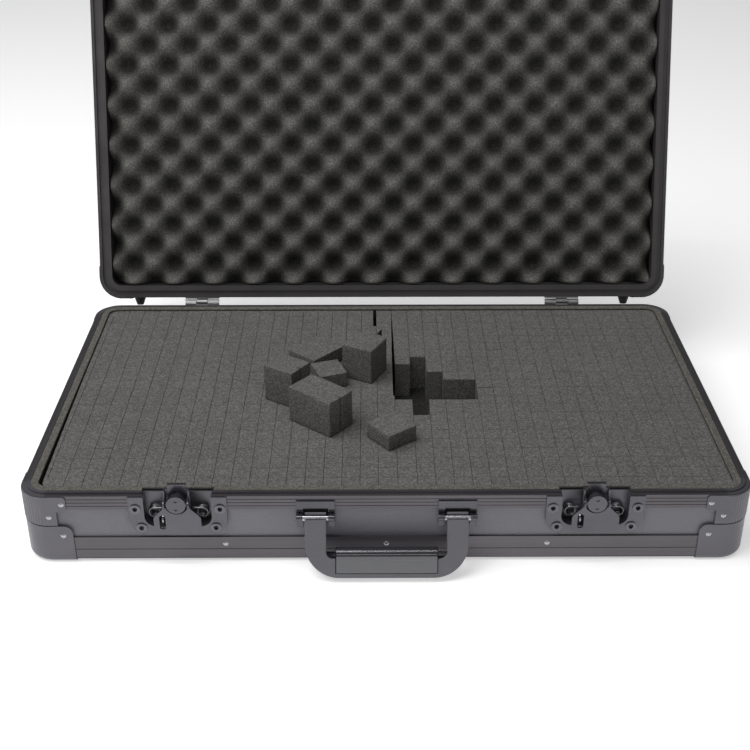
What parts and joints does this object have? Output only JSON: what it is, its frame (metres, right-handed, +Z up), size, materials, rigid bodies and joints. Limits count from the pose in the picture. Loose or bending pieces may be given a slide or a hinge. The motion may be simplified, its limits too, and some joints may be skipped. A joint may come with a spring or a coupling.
{
  "type": "flight case",
  "caption": "Low aluminium-framed flight case, lid open, with pluckable foam in the base, wavy foam in the lid, twist latches and a drop handle.",
  "frame": {"origin": "centre of the base's underside, on the surface it stands on", "axes": "+Z up, front of the case towards -Y, +X across the front"},
  "size_m": [0.5938, 0.5444, 0.4044],
  "materials": {
    "wall_panel": "dark grey laminate on board, fine pebble grain",
    "edge_profile": "dark anodised, drawn lengthwise",
    "rim_profile": "dark anodised, drawn lengthwise",
    "corner_metal": "satin dark grey",
    "rivet": "bright dark",
    "foot_rubber": "matt",
    "cut_foam": "open-cell foam, matt",
    "wavy_foam": "open-cell foam, matt",
    "hinge_steel": "nickel plated",
    "handle_plastic": "fine satin",
    "bracket_steel": "black nickel",
    "spring_wire": "plated wire",
    "latch_steel": "satin black nickel"
  },
  "bodies": {
    "base": {"base_bottom_panel": "wall_panel", "base_panel_front": "wall_panel", "base_panel_rear": "wall_panel", "base_panel_left": "wall_panel", "base_panel_right": "wall_panel", "base_edge_front": "edge_profile", "base_edge_rear": "edge_profile", "base_edge_left": "edge_profile", "base_edge_right": "edge_profile", "base_rim_front": "rim_profile", "base_rim_rear": "rim_profile", "base_rim_left": "rim_profile", "base_rim_right": "rim_profile", "base_corner_caps": "corner_metal", "base_corner_brackets": "corner_metal", "base_rivets": "rivet", "base_feet": "foot_rubber", "base_foam": "cut_foam", "pick_foam": "cut_foam", "loose_foam_blocks": "cut_foam", "hinge_base_leaves": "hinge_steel", "hinge_pins": "hinge_steel", "handle_brackets": "bracket_steel", "handle_pins": "bracket_steel", "latch_left_plate": "latch_steel", "latch_left_springs": "spring_wire", "latch_left_staple": "spring_wire", "latch_right_plate": "latch_steel", "latch_right_springs": "spring_wire", "latch_right_staple": "spring_wire", "latch_eyelets": "rivet"},
    "lid": {"lid_top_panel": "wall_panel", "lid_panel_front": "wall_panel", "lid_panel_rear": "wall_panel", "lid_panel_left": "wall_panel", "lid_panel_right": "wall_panel", "lid_edge_front": "edge_profile", "lid_edge_rear": "edge_profile", "lid_edge_left": "edge_profile", "lid_edge_right": "edge_profile", "lid_rim_front": "rim_profile", "lid_rim_rear": "rim_profile", "lid_rim_left": "rim_profile", "lid_rim_right": "rim_profile", "lid_corner_caps": "corner_metal", "lid_corner_brackets": "corner_metal", "lid_rivets": "rivet", "lid_feet": "foot_rubber", "lid_foam": "wavy_foam", "catch_plates": "latch_steel", "hinge_lid_leaves": "hinge_steel"},
    "handle": {"handle_frame": "handle_plastic", "handle_grip": "handle_plastic"},
    "latch_left_rotor_body": {"latch_left_rotor": "latch_steel"},
    "latch_left_hook_body": {"latch_left_hook": "latch_steel"},
    "latch_left_wing_body": {"latch_left_wing": "latch_steel"},
    "latch_right_rotor_body": {"latch_right_rotor": "latch_steel"},
    "latch_right_hook_body": {"latch_right_hook": "latch_steel"},
    "latch_right_wing_body": {"latch_right_wing": "latch_steel"}
  },
  "joints": [
    {"name": "lid_hinge", "type": "hinge", "parent": "base", "child": "lid", "pos_m": [0, 0.182, 0.065], "axis": [1, 0, 0], "range_deg": [0, 109.5], "deforming": ["loose_foam_blocks"]},
    {"name": "handle_swing", "type": "hinge", "parent": "base", "child": "handle", "pos_m": [0, -0.1818, 0.046], "axis": [-1, 0, 0], "range_deg": [-20, 65]},
    {"name": "latch_left_turn", "type": "hinge", "parent": "base", "child": "latch_left_rotor_body", "pos_m": [-0.1674, -0.177, 0.0601], "axis": [0, 1, 0], "range_deg": [0, 180]},
    {"name": "latch_left_draw", "type": "slide", "parent": "base", "child": "latch_left_hook_body", "axis": [0, 0.7071, -0.7071], "range_m": [0, 0.00467]},
    {"name": "latch_left_wing_fold", "type": "hinge", "parent": "latch_left_rotor_body", "child": "latch_left_wing_body", "pos_m": [-0.1674, -0.183, 0.0601], "axis": [-1, 0, 0], "range_deg": [0, 90]},
    {"name": "latch_right_turn", "type": "hinge", "parent": "base", "child": "latch_right_rotor_body", "pos_m": [0.1674, -0.177, 0.0601], "axis": [0, 1, 0], "range_deg": [0, 180]},
    {"name": "latch_right_draw", "type": "slide", "parent": "base", "child": "latch_right_hook_body", "axis": [0, 0.7071, -0.7071], "range_m": [0, 0.00467]},
    {"name": "latch_right_wing_fold", "type": "hinge", "parent": "latch_right_rotor_body", "child": "latch_right_wing_body", "pos_m": [0.1674, -0.183, 0.0601], "axis": [-1, 0, 0], "range_deg": [0, 90]}
  ],
  "couplings": [
    {"joint": "latch_left_draw", "follows": "latch_left_turn", "m_per_rad": 0.0014855},
    {"joint": "latch_right_draw", "follows": "latch_right_turn", "m_per_rad": 0.0014855}
  ]
}
